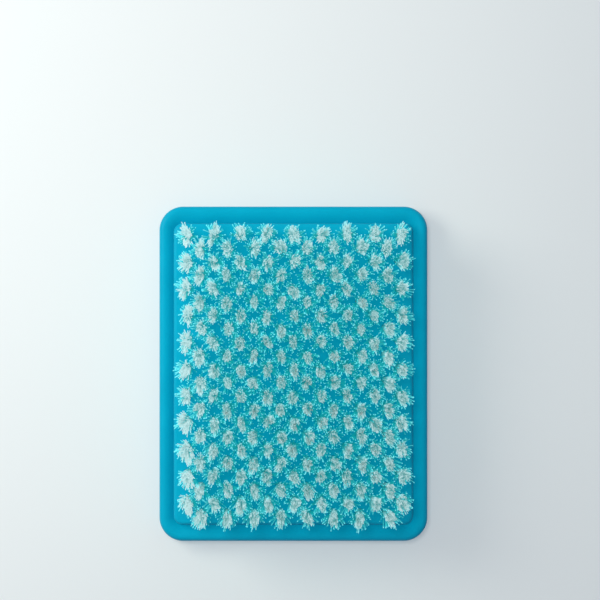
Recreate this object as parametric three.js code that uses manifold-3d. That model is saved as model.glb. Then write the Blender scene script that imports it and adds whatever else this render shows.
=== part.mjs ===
// Needle felting mat: a moulded plastic base whose raised bed carries staggered rows of bristle tufts.
// Each tuft is a bundle of filaments folded in half over a flat metal anchor at the foot of its hole.
// Millimetres, +Z up. The origin is on the table under the middle of the base, and +Y is the long side.

import * as THREE from "three";
import { mergeVertices } from "three/addons/utils/BufferGeometryUtils.js";
import Module from "manifold-3d";

const wasm = await Module();
wasm.setup();

// Base moulding
const baseWidth = 89;
const baseLength = 111;
const baseCorner = 8;
const rimHeight = 9;
const rimWidth = 5.5;
const edgeRound = 1.2;
const footWidth = 6;
const footRecess = 0.8;

// Raised bed, in blocks that lie side by side along the base
const bedRise = 3;
const bedDepth = 5;
const bedCorner = 3;
const blockCount = 4;

// Tuft pattern: each row is moved half a step sideways from the row before it
const columnPitch = 8.7;
const rowPitch = 4.35;
const tuftMargin = 4.1;

// Half a folded tuft: a strand that flares from its root to the trimmed tips
const bristleLength = 20;
const strandRootWidth = 2.2;
const strandTipWidth = 3.4;
const strandFlatness = 0.56;
const strandSplit = 0.26;
const strandSplay = 0.4;
const edgeLean = 1;
const rootDepth = 2;
const strandSides = 4;

// Flat anchors, cut from one strip for each row
const anchorWidth = 3;
const anchorThickness = 0.4;
const anchorHeight = 1.6;
const anchorWeb = 0.5;

// Clearance around what is set into the base, and how far a cutting solid runs past a face
const fitGap = 0.3;
const cutPast = 1;

// Smoothness of round corners and rounded edges
const cornerSteps = 3;
const roundSteps = 2;

// Sizes that follow from those above
const bedWidth = baseWidth - 2 * rimWidth;
const bedLength = baseLength - 2 * rimWidth;
const bedTop = rimHeight + bedRise;
const bedFloor = bedTop - bedDepth;
const columnCount = 1 + Math.floor((bedWidth - 2 * tuftMargin) / columnPitch);
const rowCount = 1 + Math.floor((bedLength - 2 * tuftMargin) / rowPitch);
const fieldHalfWidth = ((columnCount - 1) * columnPitch) / 2;
const fieldHalfLength = ((rowCount - 1) * rowPitch) / 2;
const grooveDepth = anchorHeight + fitGap;

const basePlastic = new THREE.MeshStandardMaterial({ color: 0x0a9ac0, roughness: 0.28, metalness: 0 });
const bristleNylon = new THREE.MeshStandardMaterial({ color: 0xdfeceb, roughness: 0.45, metalness: 0 });
const anchorBrass = new THREE.MeshStandardMaterial({ color: 0xb5954a, roughness: 0.35, metalness: 1 });

// Solids and booleans

function solidFrom(geometry) {
  const bare = geometry.clone();
  bare.deleteAttribute("normal");
  bare.deleteAttribute("uv");
  const merged = mergeVertices(bare);
  return new wasm.Manifold(
    new wasm.Mesh({
      numProp: 3,
      vertProperties: new Float32Array(merged.attributes.position.array),
      triVerts: new Uint32Array(merged.index.array),
    }),
  );
}

function geometryFrom(solid) {
  const { vertProperties, triVerts } = solid.getMesh();
  const geometry = new THREE.BufferGeometry();
  geometry.setAttribute("position", new THREE.BufferAttribute(vertProperties, 3));
  geometry.setIndex(new THREE.BufferAttribute(triVerts, 1));
  return geometry.toNonIndexed();
}

function namedMesh(name, geometry, material) {
  geometry.computeVertexNormals();
  const mesh = new THREE.Mesh(geometry, material);
  mesh.name = name;
  return mesh;
}

// Outlines

// A rectangle between two corners, with one radius for its two low-Y corners and one for its two high-Y corners.
function roundedRectangle(lowX, lowY, highX, highY, lowRadius, highRadius) {
  const outline = new THREE.Shape();
  const quarter = Math.PI / 2;
  const corner = (x, y, radius, turn) => {
    if (radius > 0) outline.absarc(x, y, radius, turn * quarter, (turn + 1) * quarter, false);
    else outline.lineTo(x, y);
  };
  outline.moveTo(highX, lowY + lowRadius);
  corner(highX - highRadius, highY - highRadius, highRadius, 0);
  corner(lowX + highRadius, highY - highRadius, highRadius, 1);
  corner(lowX + lowRadius, lowY + lowRadius, lowRadius, 2);
  corner(highX - lowRadius, lowY + lowRadius, lowRadius, 3);
  outline.closePath();
  return outline;
}

function centredRectangle(width, length, radius) {
  return roundedRectangle(-width / 2, -length / 2, width / 2, length / 2, radius, radius);
}

function slab(outline, low, high) {
  const geometry = new THREE.ExtrudeGeometry(outline, {
    depth: high - low,
    bevelEnabled: false,
    curveSegments: cornerSteps,
  });
  return geometry.translate(0, 0, low);
}

// Tuft pattern, counted from the row at the high-Y end

function tuftsInRow(row) {
  return columnCount - (row % 2);
}

function rowY(row) {
  return fieldHalfLength - row * rowPitch;
}

function tuftX(row, column) {
  return (column - (tuftsInRow(row) - 1) / 2) * columnPitch;
}

// Base: a rounded block with a pocket for the bed, a groove for each row of anchors and a ring to stand on

function roundedBlock() {
  const round = Math.min(edgeRound, rimHeight / 3);
  const geometry = new THREE.ExtrudeGeometry(centredRectangle(baseWidth, baseLength, baseCorner), {
    depth: rimHeight - 2 * round,
    bevelEnabled: true,
    bevelThickness: round,
    bevelSize: round,
    bevelOffset: -round,
    bevelSegments: roundSteps,
    curveSegments: cornerSteps,
  });
  return geometry.translate(0, 0, round);
}

function anchorGroove(row) {
  const length = (tuftsInRow(row) - 1) * columnPitch + anchorWidth + 2 * fitGap;
  const width = anchorThickness + 2 * fitGap;
  const groove = new THREE.BoxGeometry(length, width, grooveDepth + cutPast);
  return groove.translate(0, rowY(row), bedFloor - grooveDepth + (grooveDepth + cutPast) / 2);
}

function baseBlock() {
  const pocket = centredRectangle(bedWidth + 2 * fitGap, bedLength + 2 * fitGap, bedCorner + fitGap);
  const underside = centredRectangle(
    baseWidth - 2 * footWidth,
    baseLength - 2 * footWidth,
    Math.max(baseCorner - footWidth, 0),
  );
  let block = solidFrom(roundedBlock())
    .subtract(solidFrom(slab(pocket, bedFloor, rimHeight + cutPast)))
    .subtract(solidFrom(slab(underside, -cutPast, footRecess)));
  for (let row = 0; row < rowCount; row += 1) {
    block = block.subtract(solidFrom(anchorGroove(row)));
  }
  return namedMesh("base_block", geometryFrom(block), basePlastic);
}

// Bristles: each bed block is a slice of the backing with the strands of its rows standing on it

// How far a tuft's tips lean out of the field: next to nothing inside it, most at its edge.
function leanAt(place, halfField) {
  return edgeLean * (place / halfField) ** 3;
}

function strand(x, y, side) {
  const halfRoot = strandRootWidth / 2;
  const halfTip = strandTipWidth / 2;
  const length = bristleLength + rootDepth;
  const rise = 1 / length;
  const geometry = new THREE.CylinderGeometry(
    halfTip * Math.SQRT2,
    halfRoot * Math.SQRT2,
    length,
    strandSides,
    1,
  );
  geometry.rotateY(Math.PI / strandSides).rotateX(Math.PI / 2).translate(0, 0, length / 2);
  geometry.scale(1, strandFlatness, 1);
  const leanX = leanAt(x, fieldHalfWidth) * rise;
  const flare = (halfTip - halfRoot) * strandFlatness;
  const leanY = (leanAt(y, fieldHalfLength) + side * (flare + strandSplay / 2)) * rise;
  geometry.applyMatrix4(new THREE.Matrix4().set(1, 0, leanX, 0, 0, 1, leanY, 0, 0, 0, 1, 0, 0, 0, 0, 1));
  const rootY = y + side * (halfRoot * strandFlatness + strandSplit / 2);
  return geometry.translate(x, rootY, bedTop - rootDepth);
}

// The edge of the block that starts at this row: the bed's own end, or a seam halfway between two rows.
function blockEdge(row) {
  if (row === 0) return bedLength / 2;
  if (row === rowCount) return -bedLength / 2;
  return rowY(row) + rowPitch / 2;
}

function bristleBlock(index) {
  const firstRow = Math.round((index * rowCount) / blockCount);
  const endRow = Math.round(((index + 1) * rowCount) / blockCount);
  const isFirst = firstRow === 0;
  const isLast = endRow === rowCount;
  const outline = roundedRectangle(
    -bedWidth / 2,
    blockEdge(endRow) + (isLast ? 0 : fitGap / 2),
    bedWidth / 2,
    blockEdge(firstRow) - (isFirst ? 0 : fitGap / 2),
    isLast ? bedCorner : 0,
    isFirst ? bedCorner : 0,
  );
  let block = solidFrom(slab(outline, bedFloor, bedTop));
  for (let row = firstRow; row < endRow; row += 1) {
    for (let column = 0; column < tuftsInRow(row); column += 1) {
      for (const side of [-1, 1]) {
        block = block.add(solidFrom(strand(tuftX(row, column), rowY(row), side)));
      }
    }
  }
  return namedMesh(`bristle_bed_${index + 1}`, geometryFrom(block), bristleNylon);
}

// Anchors: the flat anchors of one row, joined along their foot by the strip that they are cut from

function anchorRow(row) {
  const last = tuftsInRow(row) - 1;
  const outline = new THREE.Shape();
  outline.moveTo(tuftX(row, 0) - anchorWidth / 2, 0);
  outline.lineTo(tuftX(row, last) + anchorWidth / 2, 0);
  for (let column = last; column >= 0; column -= 1) {
    const x = tuftX(row, column);
    if (column < last) outline.lineTo(x + anchorWidth / 2, anchorWeb);
    outline.lineTo(x + anchorWidth / 2, anchorHeight);
    outline.lineTo(x - anchorWidth / 2, anchorHeight);
    if (column > 0) outline.lineTo(x - anchorWidth / 2, anchorWeb);
  }
  outline.closePath();
  const geometry = new THREE.ExtrudeGeometry(outline, { depth: anchorThickness, bevelEnabled: false });
  geometry.translate(0, 0, -anchorThickness / 2).rotateX(Math.PI / 2);
  const mesh = namedMesh(`anchor_row_${String(row + 1).padStart(2, "0")}`, geometry, anchorBrass);
  mesh.position.set(0, rowY(row), bedFloor - grooveDepth);
  return mesh;
}

const feltingMat = new THREE.Group();
feltingMat.add(baseBlock());

const bristles = new THREE.Group();
for (let index = 0; index < blockCount; index += 1) {
  bristles.add(bristleBlock(index));
}
feltingMat.add(bristles);

const anchors = new THREE.Group();
for (let row = 0; row < rowCount; row += 1) {
  anchors.add(anchorRow(row));
}
feltingMat.add(anchors);

export default feltingMat;
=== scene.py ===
import math

import bmesh
import bpy
import numpy as np
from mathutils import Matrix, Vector
from mathutils.geometry import delaunay_2d_cdt


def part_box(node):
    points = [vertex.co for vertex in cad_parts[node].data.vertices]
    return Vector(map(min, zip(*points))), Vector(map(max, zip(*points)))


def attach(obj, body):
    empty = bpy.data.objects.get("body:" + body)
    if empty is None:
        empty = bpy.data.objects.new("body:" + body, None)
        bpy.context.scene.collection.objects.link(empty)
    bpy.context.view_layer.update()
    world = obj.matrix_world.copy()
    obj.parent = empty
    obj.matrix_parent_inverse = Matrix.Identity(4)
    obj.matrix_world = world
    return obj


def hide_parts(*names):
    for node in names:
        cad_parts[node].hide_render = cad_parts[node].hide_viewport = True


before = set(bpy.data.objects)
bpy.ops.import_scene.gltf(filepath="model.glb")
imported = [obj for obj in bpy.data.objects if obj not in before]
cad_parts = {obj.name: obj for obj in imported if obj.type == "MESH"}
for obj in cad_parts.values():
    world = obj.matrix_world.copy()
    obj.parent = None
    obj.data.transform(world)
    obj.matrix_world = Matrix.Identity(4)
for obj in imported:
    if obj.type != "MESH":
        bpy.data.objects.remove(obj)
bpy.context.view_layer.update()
scene = bpy.context.scene
print("frame loaded:", len(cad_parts), "nodes")

mm = 0.001


# camera, straight above the mat

cameraSetup = dict(
    height=1000 * mm,       # above the table
    across=2.17 * mm,       # where the camera stands over the mat
    along=24.42 * mm,
    seenWidth=200.15 * mm,  # width of table in the picture
    sensor=36.0,
)


def makeCamera():
    data = bpy.data.cameras.new("camera")
    data.sensor_width = cameraSetup["sensor"]
    data.lens = cameraSetup["sensor"] * cameraSetup["height"] / cameraSetup["seenWidth"]
    camera = bpy.data.objects.new("camera", data)
    camera.location = (cameraSetup["across"], cameraSetup["along"], cameraSetup["height"])
    scene.collection.objects.link(camera)
    scene.camera = camera


makeCamera()
print("camera set")


# shader helpers

def newMaterial(name):
    material = bpy.data.materials.new(name)
    material.use_nodes = True
    tree = material.node_tree
    tree.nodes.clear()
    output = tree.nodes.new("ShaderNodeOutputMaterial")
    shader = tree.nodes.new("ShaderNodeBsdfPrincipled")
    tree.links.new(shader.outputs["BSDF"], output.inputs["Surface"])
    return material, tree, shader


def newGroup(name, inputs, outputs):
    group = bpy.data.node_groups.new(name, "ShaderNodeTree")
    for socketName, socketType, value in inputs:
        socket = group.interface.new_socket(socketName, in_out="INPUT", socket_type=socketType)
        socket.default_value = value
    for socketName, socketType in outputs:
        group.interface.new_socket(socketName, in_out="OUTPUT", socket_type=socketType)
    return group, group.nodes.new("NodeGroupInput"), group.nodes.new("NodeGroupOutput")


def addNode(tree, kind, **values):
    node = tree.nodes.new(kind)
    for key, value in values.items():
        setattr(node, key, value)
    return node


def placeGroup(tree, group, **values):
    node = tree.nodes.new("ShaderNodeGroup")
    node.node_tree = group
    for key, value in values.items():
        node.inputs[key].default_value = value
    return node


def mixColours(tree, fac, low, high):
    mix = addNode(tree, "ShaderNodeMix", data_type="RGBA")
    tree.links.new(fac, mix.inputs[0])
    for socket, value in ((mix.inputs[6], low), (mix.inputs[7], high)):  # the two colours
        if isinstance(value, bpy.types.NodeSocket):
            tree.links.new(value, socket)
        else:
            socket.default_value = (*value, 1)
    return mix.outputs[2]


def mapRange(tree, value, fromLow, fromHigh, toLow, toHigh):
    node = tree.nodes.new("ShaderNodeMapRange")
    tree.links.new(value, node.inputs[0])
    for index, number in enumerate((fromLow, fromHigh, toLow, toHigh), start=1):
        node.inputs[index].default_value = number
    return node.outputs[0]


def rampColours(tree, fac, colours):
    ramp = tree.nodes.new("ShaderNodeValToRGB")
    stops = ramp.color_ramp.elements
    last = len(colours) - 1
    for index, colour in enumerate(colours):
        stop = stops.new(index / last) if 0 < index < last else stops[-1 if index else 0]
        stop.color = (*colour, 1)
    tree.links.new(fac, ramp.inputs["Fac"])
    return ramp.outputs["Color"]


# shared effects

mottleEffect = dict(
    scale=60.0,
    contrast=1.0,
    detail=4.0,
    middle=0.5,
)


def makeMottleGroup():
    # soft cloudy mask, 0 to 1, in object space
    effect = mottleEffect
    group, inside, outside = newGroup(
        "mottle",
        [
            ("Scale", "NodeSocketFloat", effect["scale"]),
            ("Contrast", "NodeSocketFloat", effect["contrast"]),
        ],
        [("Mask", "NodeSocketFloat")],
    )
    place = group.nodes.new("ShaderNodeTexCoord")
    noise = group.nodes.new("ShaderNodeTexNoise")
    noise.inputs["Detail"].default_value = effect["detail"]
    group.links.new(place.outputs["Object"], noise.inputs["Vector"])
    group.links.new(inside.outputs["Scale"], noise.inputs["Scale"])
    centre = addNode(group, "ShaderNodeMath", operation="SUBTRACT")
    centre.inputs[1].default_value = effect["middle"]
    group.links.new(noise.outputs["Fac"], centre.inputs[0])
    spread = addNode(group, "ShaderNodeMath", operation="MULTIPLY_ADD", use_clamp=True)
    spread.inputs[2].default_value = effect["middle"]
    group.links.new(centre.outputs[0], spread.inputs[0])
    group.links.new(inside.outputs["Contrast"], spread.inputs[1])
    group.links.new(spread.outputs[0], outside.inputs["Mask"])
    return group


grainEffect = dict(
    scale=4000.0,
    stretch=(1, 1, 1),
    detail=2.0,
)


def makeGrainGroup():
    # fine height of a textured tool or rolled strip
    effect = grainEffect
    group, inside, outside = newGroup(
        "fineGrain",
        [
            ("Scale", "NodeSocketFloat", effect["scale"]),
            ("Stretch", "NodeSocketVector", effect["stretch"]),
        ],
        [("Height", "NodeSocketFloat")],
    )
    place = group.nodes.new("ShaderNodeTexCoord")
    stretch = addNode(group, "ShaderNodeVectorMath", operation="MULTIPLY")
    group.links.new(place.outputs["Object"], stretch.inputs[0])
    group.links.new(inside.outputs["Stretch"], stretch.inputs[1])
    noise = group.nodes.new("ShaderNodeTexNoise")
    noise.inputs["Detail"].default_value = effect["detail"]
    group.links.new(stretch.outputs[0], noise.inputs["Vector"])
    group.links.new(inside.outputs["Scale"], noise.inputs["Scale"])
    group.links.new(noise.outputs["Fac"], outside.inputs["Height"])
    return group


mottle = makeMottleGroup()
fineGrain = makeGrainGroup()


def mottleMask(tree, look):
    cloud = placeGroup(tree, mottle, Scale=look["mottleScale"], Contrast=look["mottleContrast"])
    return cloud.outputs["Mask"]


def addGrain(tree, shader, look):
    grain = placeGroup(tree, fineGrain, Scale=look["grainScale"], Stretch=look["grainStretch"])
    bump = tree.nodes.new("ShaderNodeBump")
    bump.inputs["Strength"].default_value = look["grainStrength"]
    bump.inputs["Distance"].default_value = look["grainDepth"]
    tree.links.new(grain.outputs["Height"], bump.inputs["Height"])
    tree.links.new(bump.outputs["Normal"], shader.inputs["Normal"])


# materials

bluePlasticLook = dict(
    deep=(0.0006, 0.328, 0.496),
    light=(0.0012, 0.360, 0.537),
    mottleScale=90.0,
    mottleContrast=2.0,
    roughness=(0.30, 0.42),
    shine=0.1,
    grainScale=5200.0,
    grainStretch=(1, 1, 1),
    grainStrength=0.35,
    grainDepth=0.012 * mm,
    subsurface=0.12,
    subsurfaceRadius=(0.2, 0.8, 1.0),
    subsurfaceScale=1.5 * mm,
)


def makeBluePlastic():
    look = bluePlasticLook
    material, tree, shader = newMaterial("bluePlastic")
    mask = mottleMask(tree, look)
    tree.links.new(mixColours(tree, mask, look["deep"], look["light"]), shader.inputs["Base Color"])
    tree.links.new(mapRange(tree, mask, 0.0, 1.0, *look["roughness"]), shader.inputs["Roughness"])
    addGrain(tree, shader, look)
    shader.inputs["Specular IOR Level"].default_value = look["shine"]
    shader.inputs["Subsurface Weight"].default_value = look["subsurface"]
    shader.inputs["Subsurface Radius"].default_value = look["subsurfaceRadius"]
    shader.inputs["Subsurface Scale"].default_value = look["subsurfaceScale"]
    return material


nylonLook = dict(
    root=(0.008, 0.39, 0.45),    # painted blue light picked up from the bed
    glow=(0.012, 0.74, 0.80),    # light that comes up through a loose filament
    core=(                       # painted shade to painted light, from the dim middle of a tuft to its pale outside
        (0.11, 0.17, 0.15),
        (0.23, 0.28, 0.27),
        (0.19, 0.46, 0.47),
        (0.34, 0.54, 0.56),
        (0.60, 0.77, 0.80),
    ),
    fringe=(0.14, 0.87, 0.96),   # painted cyan light from the bed, shining through loose filaments at the outside of a tuft
    cut=(0.46, 0.76, 0.80),      # painted highlight on the cut ends, which face up
    fringeCut=(0.22, 0.94, 0.98),
    cutShare=0.6,
    cutFacing=(0.7, 0.9),        # how far up a face looks before it gets the painted highlight of a cut end
    mottleScale=900.0,
    mottleContrast=1.6,
    roughness=(0.30, 0.46),
    shine=0.3,
)


def makeNylon():
    look = nylonLook
    material, tree, shader = newMaterial("bristleNylon")
    paintedLightAndTone = addNode(tree, "ShaderNodeAttribute", attribute_name="paintedLightAndTone")  # painted light and shade: lit share, fringe light, shade with random tone, and glow
    paintedLightParts = tree.nodes.new("ShaderNodeSeparateColor")
    tree.links.new(paintedLightAndTone.outputs["Color"], paintedLightParts.inputs[0])
    paintedLitShare, fringe, shade = paintedLightParts.outputs
    # painted shade in the middle of a tuft and painted light at its outside, with random tone, then painted
    # cyan light through its fringe
    core = rampColours(tree, shade, look["core"])
    strand = mixColours(tree, fringe, core, look["fringe"])
    # painted blue light from the bed low on the filament, and painted glow where light comes up through it
    stem = mixColours(tree, paintedLightAndTone.outputs["Alpha"], look["root"], look["glow"])
    # painted shade low on the filament, painted light towards its tip
    side = mixColours(tree, paintedLitShare, stem, strand)
    # painted highlight on faces that look up, which are the cut ends
    geometry = tree.nodes.new("ShaderNodeNewGeometry")
    facing = tree.nodes.new("ShaderNodeSeparateXYZ")
    tree.links.new(geometry.outputs["True Normal"], facing.inputs[0])
    paintedTopHighlight = mapRange(tree, facing.outputs["Z"], *look["cutFacing"], 0.0, look["cutShare"])
    cut = mixColours(tree, fringe, look["cut"], look["fringeCut"])
    tree.links.new(mixColours(tree, paintedTopHighlight, side, cut), shader.inputs["Base Color"])
    roughness = mapRange(tree, mottleMask(tree, look), 0.0, 1.0, *look["roughness"])
    tree.links.new(roughness, shader.inputs["Roughness"])
    shader.inputs["Specular IOR Level"].default_value = look["shine"]
    return material


brassLook = dict(
    tarnish=(0.30, 0.19, 0.06),
    bright=(0.52, 0.36, 0.11),
    mottleScale=420.0,
    mottleContrast=2.0,
    roughness=(0.45, 0.25),      # tarnished and bright
    grainScale=6000.0,
    grainStretch=(0.08, 1.0, 1.0),
    grainStrength=0.3,
    grainDepth=0.01 * mm,
)


def makeBrass():
    look = brassLook
    material, tree, shader = newMaterial("anchorBrass")
    mask = mottleMask(tree, look)
    tree.links.new(mixColours(tree, mask, look["tarnish"], look["bright"]), shader.inputs["Base Color"])
    tree.links.new(mapRange(tree, mask, 0.0, 1.0, *look["roughness"]), shader.inputs["Roughness"])
    addGrain(tree, shader, look)
    shader.inputs["Metallic"].default_value = 1.0
    return material


bluePlastic = makeBluePlastic()
bristleNylon = makeNylon()
anchorBrass = makeBrass()
print("materials made")


# tuft pattern, the same as the solids have

tuftPattern = dict(
    columns=9,
    rows=22,
    columnPitch=8.7 * mm,
    rowPitch=4.35 * mm,
    blocks=4,
)
fieldHalfWidth = (tuftPattern["columns"] - 1) * tuftPattern["columnPitch"] / 2
fieldHalfLength = (tuftPattern["rows"] - 1) * tuftPattern["rowPitch"] / 2


def tuftsOfRow(row):
    count = tuftPattern["columns"] - row % 2
    y = fieldHalfLength - row * tuftPattern["rowPitch"]
    return [((column - (count - 1) / 2) * tuftPattern["columnPitch"], y) for column in range(count)]


def rowsOfBlock(block):
    rows, blocks = tuftPattern["rows"], tuftPattern["blocks"]
    return range(math.floor(block * rows / blocks + 0.5), math.floor((block + 1) * rows / blocks + 0.5))


allTufts = [spot for row in range(tuftPattern["rows"]) for spot in tuftsOfRow(row)]


# base moulding

baseLow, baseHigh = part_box("base_block")
baseMoulding = dict(
    halfWidth=(baseHigh.x - baseLow.x) / 2,
    halfLength=(baseHigh.y - baseLow.y) / 2,
    rimTop=baseHigh.z,
    corner=8 * mm,
    cornerSteps=14,
    edgeRound=1.6 * mm,
    footRound=1.2 * mm,
    footWidth=6 * mm,
    footRecess=0.8 * mm,
    footDraft=0.4 * mm,
    draft=0.15 * mm,
    rimWidth=4.85 * mm,      # from the outer wall to the foot of the bed
    rimExtra=0.8 * mm,       # the rim is wider at the two ends
    rimDish=1.35 * mm,       # the rim falls this much towards the bed
    bedRise=3 * mm,
    bedDraft=0.15 * mm,
    bedRound=1.1 * mm,
    leastCorner=3 * mm,
    roundSteps=5,
    dishSteps=8,
    holeRadius=1.4 * mm,
    holeLip=0.18 * mm,
    holeDepth=5.6 * mm,
    holeSides=14,
    weldDistance=1e-7,       # points closer than this are one
    sharpAngle=38,
)
bedTop = baseMoulding["rimTop"] + baseMoulding["bedRise"]


def ringPoints(inset):
    part = baseMoulding
    rimStart = part["draft"] + part["edgeRound"]
    inside = min(max((inset - rimStart) / (part["rimWidth"] - rimStart), 0), 1)
    halfX = part["halfWidth"] - inset
    halfY = part["halfLength"] - inset - part["rimExtra"] * inside
    radius = max(part["corner"] - inset, part["leastCorner"])
    steps = part["cornerSteps"]
    points = []
    for turn, (signX, signY) in enumerate(((1, 1), (-1, 1), (-1, -1), (1, -1))):
        for step in range(steps + 1):
            angle = (turn + step / steps) * math.pi / 2
            x = signX * (halfX - radius) + radius * math.cos(angle)
            y = signY * (halfY - radius) + radius * math.sin(angle)
            points.append((x, y))
    return points


def quarterRound(startInset, startZ, endInset, endZ, bulge):
    # quarter ellipse between two points of the section; bulge says which axis it leaves along
    steps = baseMoulding["roundSteps"]
    section = []
    for step in range(steps + 1):
        angle = step / steps * math.pi / 2
        if bulge == "up":
            share = (1 - math.cos(angle), math.sin(angle))
        else:
            share = (math.sin(angle), 1 - math.cos(angle))
        section.append((
            startInset + (endInset - startInset) * share[0],
            startZ + (endZ - startZ) * share[1],
        ))
    return section


def dishedRim(startInset, endInset):
    # flat by the outer edge, steeper towards the bed
    part = baseMoulding
    section = []
    for step in range(1, part["dishSteps"] + 1):
        share = step / part["dishSteps"]
        fall = part["rimDish"] * (1 - math.cos(share * math.pi / 2))
        section.append((startInset + (endInset - startInset) * share, part["rimTop"] - fall))
    return section


def baseSection():
    # inset and height, from the recess under the base round to the top of the bed
    part = baseMoulding
    wallTop = part["draft"]
    rimStart = wallTop + part["edgeRound"]
    bedFoot = part["rimWidth"]
    bedEdge = bedFoot + part["bedDraft"]
    section = [(part["footWidth"] + part["footDraft"], part["footRecess"]), (part["footWidth"], 0.0)]
    section += quarterRound(part["footRound"], 0.0, 0.0, part["footRound"], "out")
    section += quarterRound(wallTop, part["rimTop"] - part["edgeRound"], rimStart, part["rimTop"], "up")
    section += dishedRim(rimStart, bedFoot)
    section += quarterRound(bedEdge, bedTop - part["bedRound"], bedEdge + part["bedRound"], bedTop, "up")
    return section


def circlePoints(x, y, radius):
    sides = baseMoulding["holeSides"]
    points = []
    for side in range(sides):
        angle = 2 * math.pi * side / sides
        points.append((x + radius * math.cos(angle), y + radius * math.sin(angle)))
    return points


def bridgeRings(mesh, first, second):
    count = len(first)
    for index in range(count):
        after = (index + 1) % count
        mesh.faces.new((first[index], first[after], second[after], second[index]))


def addHole(mesh, mouth, x, y):
    part = baseMoulding
    throatPoints = circlePoints(x, y, part["holeRadius"])
    throat = [mesh.verts.new((px, py, bedTop - part["holeLip"])) for px, py in throatPoints]
    floor = [mesh.verts.new((px, py, bedTop - part["holeDepth"])) for px, py in throatPoints]
    bridgeRings(mesh, mouth, throat)
    bridgeRings(mesh, throat, floor)
    mesh.faces.new(floor)


def fillBed(mesh, edgeRing):
    # the flat top of the bed, with a hole for each tuft
    part = baseMoulding
    flat = [Vector(vert.co.xy) for vert in edgeRing]
    loops = [list(range(len(flat)))]
    for x, y in allTufts:
        start = len(flat)
        flat += [Vector(point) for point in circlePoints(x, y, part["holeRadius"] + part["holeLip"])]
        loops.append(list(range(start, len(flat))))
    edges = [(loop[i], loop[(i + 1) % len(loop)]) for loop in loops for i in range(len(loop))]
    insideOnly = 1
    _, _, faces, origins, _, _ = delaunay_2d_cdt(flat, edges, [], insideOnly, part["weldDistance"])
    verts = list(edgeRing) + [mesh.verts.new((point.x, point.y, bedTop)) for point in flat[len(edgeRing):]]
    source = [origin[0] for origin in origins]
    holeOf = {}
    for number, loop in enumerate(loops[1:]):
        for index in loop:
            holeOf[index] = number
    for face in faces:
        corners = [source[index] for index in face]
        owners = {holeOf.get(index) for index in corners}
        if len(owners) == 1 and None not in owners:
            continue  # inside a hole
        mesh.faces.new([verts[index] for index in corners])
    for (x, y), loop in zip(allTufts, loops[1:]):
        addHole(mesh, [verts[index] for index in loop], x, y)


def makeBase():
    mesh = bmesh.new()
    rings = []
    for inset, z in baseSection():
        rings.append([mesh.verts.new((x, y, z)) for x, y in ringPoints(inset)])
    for lower, upper in zip(rings, rings[1:]):
        bridgeRings(mesh, lower, upper)
    mesh.faces.new(list(reversed(rings[0])))
    fillBed(mesh, rings[-1])
    bmesh.ops.recalc_face_normals(mesh, faces=mesh.faces)
    data = bpy.data.meshes.new("base_moulding")
    mesh.to_mesh(data)
    mesh.free()
    data.shade_smooth()
    data.set_sharp_from_angle(angle=math.radians(baseMoulding["sharpAngle"]))
    data.materials.append(bluePlastic)
    base = bpy.data.objects.new("base_moulding", data)
    scene.collection.objects.link(base)
    weighted = base.modifiers.new("flatFaces", "WEIGHTED_NORMAL")
    weighted.keep_sharp = True
    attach(base, "root")
    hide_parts("base_block")


makeBase()
print("base moulded, holes:", len(allTufts))


# bristles, one piece for each block of the bed

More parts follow.
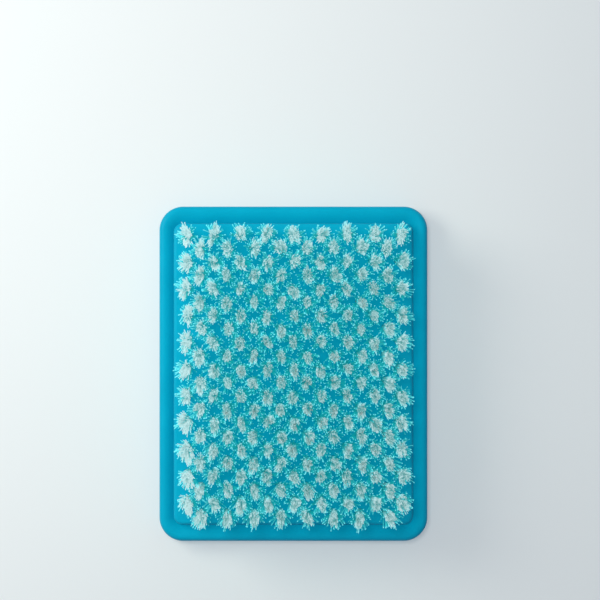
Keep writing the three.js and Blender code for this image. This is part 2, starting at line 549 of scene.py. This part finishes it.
bristles = dict(
    seed=41,
    perTuft=118,
    strays=29,                      # more of them, spread out between the tufts
    lowStrays=24,                   # and some that end further down
    countSpread=8,
    radius=0.17 * mm,
    strayRadius=0.20 * mm,
    radiusSpread=0.08,
    sides=3,
    upright=0.83,                   # how far the normals turn up, as clear nylon shades

    # one tuft, from the fold round its anchor to the cut
    footDepth=5.2 * mm,             # below the top of the bed
    footSplit=0.3 * mm,             # the fold leaves room for the anchor between its two halves
    footShare=0.6,
    mouthRadius=1.25 * mm,
    tipZ=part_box("bristle_bed_1")[1].z,
    trim=0.14 * mm,                 # unevenness of the cut
    clumps=6,                       # filaments of a tuft cling together
    cling=0.3,
    clumpShift=(0.13 * mm, 0.26 * mm),
    flare=(1.20, 1.98),             # tips over roots, across and along the mat
    scatter=(0.26 * mm, 0.42 * mm),
    combed=(0.4 * mm, -0.4 * mm),   # all tufts lean this way
    tuftLean=0.28 * mm,             # and each some way of its own
    tuftShift=0.10 * mm,
    tuftTwist=15.0,                 # no two tufts have the same shape
    tuftStretch=0.08,
    strayReach=(1.5 * mm, 3.9 * mm),
    strayDrop=(0.0, 3.0 * mm),      # how much lower the strays end
    lowDrop=(3.0 * mm, 10.0 * mm),

    # the line of a filament
    rise=(0.0, 0.76, 1.0),          # heights of the rings above the bed
    strayRise=(0.0, 0.87, 1.0),
    coreBow=1.25,
    strayBow=1.6,
    wave=0.12 * mm,
    waveTurns=(0.7, 1.5),

    # colour, mostly painted light and shade with some random tone, with a value for each ring from the foot
    # up where there are four
    paintedLitShare=(0.0, 0.10, 0.45, 1.0),    # painted light: whiter towards the tip, where the light reaches, painted shade below
    strayPale=(0.0, 0.0, 0.0, 1.0),
    lowPale=(0.0, 0.0, 0.0, 0.0),
    glow=(0.0, 0.0, 0.2, 0.2),      # how much light comes up through it
    strayGlow=(0.0, 0.05, 0.35, 0.8),
    glowPower=0.9,
    # painted cyan light from the bed shines through the filaments at the outside of a tuft
    fringeReach=(1.8 * mm, 2.6 * mm),
    fringeFrom=0.78,                # share of that reach where the fringe begins
    fringeTo=1.25,
    strayFringe=(0.75, 1.0),
    clumpShade=0.12,
    bundles=60,                     # a few neighbours that touch look alike
    ownShade=0.7,
    outerShade=0.34,                # painted shade: filaments in the middle of a tuft are darker, those at the outside paler

    # tufts at the edge of the field
    edgePower=4,                    # how soon the effect of the edge fades inwards
    edgeSides=(1.0, 0.35),          # the left edge shows it more than the right one, in shape and in painted light from the upper left
    edgeEnds=(0.35, 0.65),          # and the far end more than the near one
    edgeLean=(0.3 * mm, 0.5 * mm),  # they lean out
    edgeSplay=(0.24, 0.38),         # open more, mostly along the mat
    edgeFill=0.34,                  # are fuller
    edgeSpike=0.6 * mm,             # and have single filaments that stick out
    edgePale=0.65,                  # they catch more light along their sides
    sidePale=0.8,                   # most of all on the outside of the field
    edgeStray=1.2,                  # as do the strays that point out of it
    sideRise=(0.0, 0.4, 1.0, 1.0),  # from the foot up
    edgeShade=0.55,                 # painted light: they are paler
    edgeFringe=0.85,                # with less of the painted cyan fringe light
    spikeFringe=0.15,               # but for the outermost filaments
)
standing, loose, low = range(3)  # kinds of filament: in the tuft, stray and low stray


def onDisc(rng, count, near, far):
    angle = rng.uniform(0, 2 * math.pi, count)
    reach = np.sqrt(rng.uniform(near ** 2, far ** 2, count))
    return np.stack([reach * np.cos(angle), reach * np.sin(angle)], 1)


def nearestOf(points, middles):
    return np.linalg.norm(points[:, None] - middles[None], axis=2).argmin(axis=1)


def edgeAt(x, y):
    # which way is out of the field, and how much of the edge's effect, in shape and in painted light, shows
    # there
    part = bristles
    place = np.array([x / fieldHalfWidth, y / fieldHalfLength])
    outwards = np.sign(place) * np.abs(place) ** part["edgePower"]
    across = np.interp(place[0], (-1, 1), part["edgeSides"])
    along = np.interp(place[1], (-1, 1), part["edgeEnds"])
    return outwards, outwards * [across, along]


def filamentKinds(rng, nearEdge):
    part = bristles
    core = round(part["perTuft"] * (1 + part["edgeFill"] * nearEdge))
    core += int(rng.integers(-part["countSpread"], part["countSpread"] + 1))
    return np.repeat([standing, loose, low], [core, part["strays"], part["lowStrays"]])


def clumpedTips(rng, mouth):
    # each tip is drawn to the middle of its clump, and each clump leans a little its own way
    part = bristles
    clumps = part["clumps"]
    middle = onDisc(rng, clumps, 0, part["mouthRadius"])
    owner = nearestOf(mouth, middle)
    drawn = mouth + part["cling"] * (middle[owner] - mouth)
    shift = rng.normal(0, 1, (clumps, 2)) * part["clumpShift"]
    scatter = rng.normal(0, 1, mouth.shape) * part["scatter"]
    shade = rng.uniform(0, part["clumpShade"], clumps)
    return drawn * part["flare"] + shift[owner] + scatter, shade[owner]


def tuftShape(rng, kind, outwards, shown):
    # where the filaments leave their hole and where they end, seen from the middle of the hole
    part = bristles
    count = len(kind)
    lean = part["edgeLean"] * outwards + part["combed"] + rng.normal(0, part["tuftLean"], 2)
    twist = math.radians(rng.normal(0, part["tuftTwist"]))
    stretch = 1 + rng.normal(0, part["tuftStretch"], 2)
    turn = np.array([[math.cos(twist), -math.sin(twist)], [math.sin(twist), math.cos(twist)]])
    splay = 1 + np.array(part["edgeSplay"]) * np.linalg.norm(shown)
    mouth = onDisc(rng, count, 0, part["mouthRadius"])
    tip, clumpShade = clumpedTips(rng, mouth)
    apart = np.linalg.norm(tip / part["fringeReach"], axis=1)
    tip = (tip * stretch @ turn.T) * splay
    outermost = np.clip(tip @ shown / part["fringeReach"][1], 0, 1)
    spike = outermost * rng.uniform(0, 1, count) ** 2
    tip = tip + part["edgeSpike"] * np.outer(spike, shown)
    spread = onDisc(rng, count, *part["strayReach"])
    tip = np.where((kind == standing)[:, None], tip, spread) + lean
    tipZ = part["tipZ"] - np.abs(rng.normal(0, part["trim"], count))
    tipZ -= np.where(kind == loose, rng.uniform(*part["strayDrop"], count), 0)
    tipZ -= np.where(kind == low, rng.uniform(*part["lowDrop"], count), 0)
    return dict(
        mouth=mouth,
        tip=tip,
        tipZ=tipZ,
        spread=spread,
        apart=apart,
        outermost=outermost,
        clumpShade=clumpShade,
    )


def tuftPaintedLightAndTone(rng, kind, tuft, outwards, shown):
    # painted light and shade of each filament at each of its rings: lit share, fringe light, shade with
    # random tone, and glow
    part = bristles
    count = len(kind)
    stray = kind != standing
    nearEdge = np.linalg.norm(shown)
    paintedLitShare = np.array([part["paintedLitShare"], part["strayPale"], part["lowPale"]])[kind]
    # painted light along the sides that face out of the field
    outside = part["sidePale"] * tuft["mouth"] @ outwards / part["mouthRadius"]
    pointing = part["edgeStray"] * tuft["spread"] @ shown / part["strayReach"][1]
    catch = np.where(stray, pointing, np.maximum(outside, part["edgePale"] * nearEdge))
    paintedLitShare += (1 - paintedLitShare) * np.outer(np.clip(catch, 0, 1), part["sideRise"])
    # painted cyan light from the bed through the filaments at the outside of a tuft, less of it at the edge
    # of the field
    fringe = (tuft["apart"] - part["fringeFrom"]) / (part["fringeTo"] - part["fringeFrom"])
    fringe = np.clip(fringe, 0, 1) * (1 - part["edgeFringe"] * nearEdge)
    fringe = np.minimum(fringe + part["spikeFringe"] * tuft["outermost"], 1)
    fringe = np.where(stray, rng.uniform(*part["strayFringe"], count), fringe)
    bundle = nearestOf(tuft["tip"], tuft["tip"][rng.choice(count, part["bundles"], replace=False)])
    # random tone by clump and bundle, painted shade in the middle of a tuft and painted light at the edge
    # of the field
    shade = tuft["clumpShade"] + rng.uniform(0, part["ownShade"], part["bundles"])[bundle]
    shade = np.clip(shade + part["outerShade"] * tuft["apart"] + part["edgeShade"] * nearEdge, 0, 1)
    glow = rng.uniform(0, 1, count) ** part["glowPower"]
    glow = np.where(stray[:, None], np.outer(glow, part["strayGlow"]), part["glow"])
    return np.stack(np.broadcast_arrays(paintedLitShare, fringe[:, None], shade[:, None], glow), 2)


def feetUnder(mouth):
    # the two halves of the folded bundle stand on either side of the anchor
    part = bristles
    foot = mouth.copy()
    foot[:, 1] = np.sign(mouth[:, 1]) * (part["footSplit"] + part["footShare"] * np.abs(mouth[:, 1]))
    return foot


def ringsAlong(rng, foot, mouth, tip, tipZ, stray):
    # strays bow out at once, the others only towards their tips
    part = bristles
    count = len(mouth)
    waveAngle = rng.uniform(0, 2 * math.pi, count)
    waveWay = np.stack([np.cos(waveAngle), np.sin(waveAngle)], 1)
    wavePhase = rng.uniform(0, 2 * math.pi, count)
    waveTurns = rng.uniform(*part["waveTurns"], count)
    rings = [np.column_stack([foot, np.full(count, bedTop - part["footDepth"])])]
    for coreRise, strayRise in zip(part["rise"], part["strayRise"]):
        rise = np.where(stray, strayRise, coreRise)
        bow = np.where(stray, 1 - (1 - rise) ** part["strayBow"], rise ** part["coreBow"])
        wave = part["wave"] * np.sin(math.pi * rise) * np.sin(2 * math.pi * waveTurns * rise + wavePhase)
        flat = mouth + (tip - mouth) * bow[:, None] + waveWay * wave[:, None]
        rings.append(np.column_stack([flat, bedTop + (tipZ - bedTop) * rise]))
    return np.stack(rings, 1)


def tuftFilaments(row, column, x, y):
    part = bristles
    rng = np.random.default_rng((part["seed"], row, column))
    outwards, shown = edgeAt(x, y)
    kind = filamentKinds(rng, np.linalg.norm(shown))
    count = len(kind)
    centre = np.array([x, y]) + rng.normal(0, part["tuftShift"], 2)
    tuft = tuftShape(rng, kind, outwards, shown)
    paintedLightAndTone = tuftPaintedLightAndTone(rng, kind, tuft, outwards, shown)
    foot = feetUnder(tuft["mouth"]) + centre
    mouth = tuft["mouth"] + centre
    tip = tuft["tip"] + centre
    path = ringsAlong(rng, foot, mouth, tip, tuft["tipZ"], kind != standing)
    radius = np.where(kind == loose, part["strayRadius"], part["radius"])
    radius = radius * (1 + rng.normal(0, part["radiusSpread"], count))
    spin = rng.uniform(0, 2 * math.pi, count)
    return dict(path=path, radius=radius, spin=spin, paintedLightAndTone=paintedLightAndTone)


def tubeArrays(paths, radius, spin):
    # vertices, normals, walls and ends of closed tubes round the centre lines
    count, rings, _ = paths.shape
    sides, upright = bristles["sides"], bristles["upright"]
    around = spin[:, None] + 2 * np.pi * np.arange(sides) / sides
    outward = np.stack([np.cos(around), np.sin(around), np.zeros_like(around)], 2)
    verts = paths[:, :, None, :] + (outward * radius[:, None, None])[:, None, :, :]
    normals = outward * math.sqrt(1 - upright ** 2) + np.array([0, 0, upright])
    normals = np.broadcast_to(normals[:, None, :, :], verts.shape)
    base = (np.arange(count) * rings * sides)[:, None, None, None]
    ring = np.arange(rings - 1)[:, None] * sides
    side = np.arange(sides)[None, :]
    after = (side + 1) % sides
    walls = base + np.stack([ring + side, ring + after, ring + sides + after, ring + sides + side], 2)[None]
    foot = base[:, 0, 0] + np.arange(sides)[::-1][None, :]
    tip = base[:, 0, 0] + (rings - 1) * sides + np.arange(sides)[None, :]
    return verts.reshape(-1, 3), normals.reshape(-1, 3), walls.reshape(-1, 4), np.concatenate([foot, tip])


filamentCell = dict(
    fill=0.9,                       # the rest is the gap to the next cell
    wallShare=0.78,                 # the wall below, the two ends above it
    endRadius=0.4,
    footPlace=0.25,
    tipPlace=0.75,
)


def filamentMap(count, rings):
    # flat map with one small cell for each filament
    cell = filamentCell
    sides, wallShare = bristles["sides"], cell["wallShare"]
    cells = math.ceil(math.sqrt(count))
    index = np.arange(count)
    corner = np.stack([index % cells, index // cells], 1) / cells
    size = cell["fill"] / cells
    ring = np.broadcast_to(np.arange(rings - 1)[:, None], (rings - 1, sides))
    side = np.broadcast_to(np.arange(sides)[None, :], (rings - 1, sides))
    across = np.stack([side, side + 1, side + 1, side], 2) / sides
    along = np.stack([ring, ring, ring + 1, ring + 1], 2) / (rings - 1) * wallShare
    walls = corner[:, None, None, None, :] + size * np.stack([across, along], 3)[None]
    turn = 2 * np.pi * np.arange(sides) / sides
    disc = np.stack([np.cos(turn), np.sin(turn)], 1) * (1 - wallShare) * cell["endRadius"]
    endHeight = (1 + wallShare) / 2
    foot = corner[:, None, :] + size * (np.array([cell["footPlace"], endHeight]) + disc)[None]
    tip = corner[:, None, :] + size * (np.array([cell["tipPlace"], endHeight]) + disc)[None]
    return np.concatenate([walls.reshape(-1, 2), foot.reshape(-1, 2), tip.reshape(-1, 2)])


def meshFromArrays(name, verts, normals, walls, ends, flatMap, paintedLightAndTone):
    data = bpy.data.meshes.new(name)
    data.vertices.add(len(verts))
    data.vertices.foreach_set("co", verts.astype(np.float32).ravel())
    corners = np.concatenate([walls.ravel(), ends.ravel()]).astype(np.int32)
    sizes = np.repeat([walls.shape[1], ends.shape[1]], [len(walls), len(ends)]).astype(np.int32)
    starts = np.concatenate([[0], np.cumsum(sizes)[:-1]]).astype(np.int32)
    data.loops.add(len(corners))
    data.loops.foreach_set("vertex_index", corners)
    data.polygons.add(len(sizes))
    data.polygons.foreach_set("loop_start", starts)
    data.update(calc_edges=True)
    data.validate()
    data.shade_smooth()
    data.uv_layers.new(name="OFBake").data.foreach_set("uv", flatMap.astype(np.float32).ravel())
    data.attributes.new("custom_normal", "FLOAT_VECTOR", "POINT")
    data.attributes["custom_normal"].data.foreach_set("vector", normals.astype(np.float32).ravel())
    # the painted light and shade of the filaments, with their random tone
    data.attributes.new("paintedLightAndTone", "FLOAT_COLOR", "POINT")
    data.attributes["paintedLightAndTone"].data.foreach_set("color", paintedLightAndTone.astype(np.float32).ravel())
    return data


def makeBristles(block):
    found = [
        tuftFilaments(row, column, x, y)
        for row in rowsOfBlock(block)
        for column, (x, y) in enumerate(tuftsOfRow(row))
    ]
    paths, radius, spin, paintedLightAndTone = (
        np.concatenate([tuft[key] for tuft in found]) for key in ("path", "radius", "spin", "paintedLightAndTone")
    )
    count, rings = paths.shape[:2]
    name = f"bristle_tufts_{block + 1}"
    pointPaintedLightAndTone = np.repeat(paintedLightAndTone, bristles["sides"], axis=1)
    data = meshFromArrays(name, *tubeArrays(paths, radius, spin), filamentMap(count, rings), pointPaintedLightAndTone)
    piece = bpy.data.objects.new(name, data)
    scene.collection.objects.link(piece)
    data.materials.append(bristleNylon)
    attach(piece, "root")
    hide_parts(f"bristle_bed_{block + 1}")
    print("bristles", block + 1, "filaments:", count, "faces:", len(data.polygons))


for block in range(tuftPattern["blocks"]):
    makeBristles(block)


# anchors keep their solids and get a brass finish

def dressAnchors():
    for name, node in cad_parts.items():
        if name.startswith("anchor_row_"):
            node.data.materials.clear()
            node.data.materials.append(anchorBrass)


dressAnchors()
print("anchors dressed")


# floor and light

studio = dict(
    floorSize=4.0,
    floorColour=(0.76, 0.78, 0.79),
    floorRoughness=0.7,
    worldColour=(0.76, 0.92, 1.20),
    worldStrength=0.26,
    key=dict(power=1.1, colour=(1.0, 1.0, 0.87), size=0.28, place=(-0.40, 0.19, 0.40)),
    front=dict(power=1.95, colour=(1.0, 1.0, 0.93), size=0.19, place=(-0.26, 0.20, 0.50)),
    top=dict(power=1.5, colour=(1.0, 1.0, 0.93), size=0.15, place=(-0.10, 0.12, 0.95)),
)


def makeFloor():
    mesh = bmesh.new()
    half = studio["floorSize"] / 2
    corners = ((-half, -half), (half, -half), (half, half), (-half, half))
    mesh.faces.new([mesh.verts.new((x, y, 0)) for x, y in corners])
    data = bpy.data.meshes.new("floor")
    mesh.to_mesh(data)
    mesh.free()
    floor = bpy.data.objects.new("floor", data)
    scene.collection.objects.link(floor)
    material, _, shader = newMaterial("paleFloor")
    shader.inputs["Base Color"].default_value = (*studio["floorColour"], 1)
    shader.inputs["Roughness"].default_value = studio["floorRoughness"]
    data.materials.append(material)


def makeLamp(name, power, colour, size, place):
    data = bpy.data.lights.new(name, "AREA")
    data.energy = power
    data.color = colour
    data.size = size
    lamp = bpy.data.objects.new(name, data)
    lamp.location = place
    lamp.rotation_euler = (-Vector(place)).to_track_quat("-Z", "Y").to_euler()
    scene.collection.objects.link(lamp)
    return lamp


def makeLamps():
    makeLamp("keyLamp", **studio["key"])
    # clear nylon lets the light from the front through, so this lamp casts no shadow
    front = makeLamp("frontLamp", **studio["front"])
    front.data.use_shadow = False
    front.visible_glossy = False
    top = makeLamp("topLamp", **studio["top"])
    top.visible_glossy = False


def makeWorld():
    world = bpy.data.worlds.new("studio")
    world.use_nodes = True
    background = world.node_tree.nodes["Background"]
    background.inputs["Color"].default_value = (*studio["worldColour"], 1)
    background.inputs["Strength"].default_value = studio["worldStrength"]
    scene.world = world


makeFloor()
makeLamps()
makeWorld()
scene.view_settings.view_transform = "Standard"
print("studio lit")
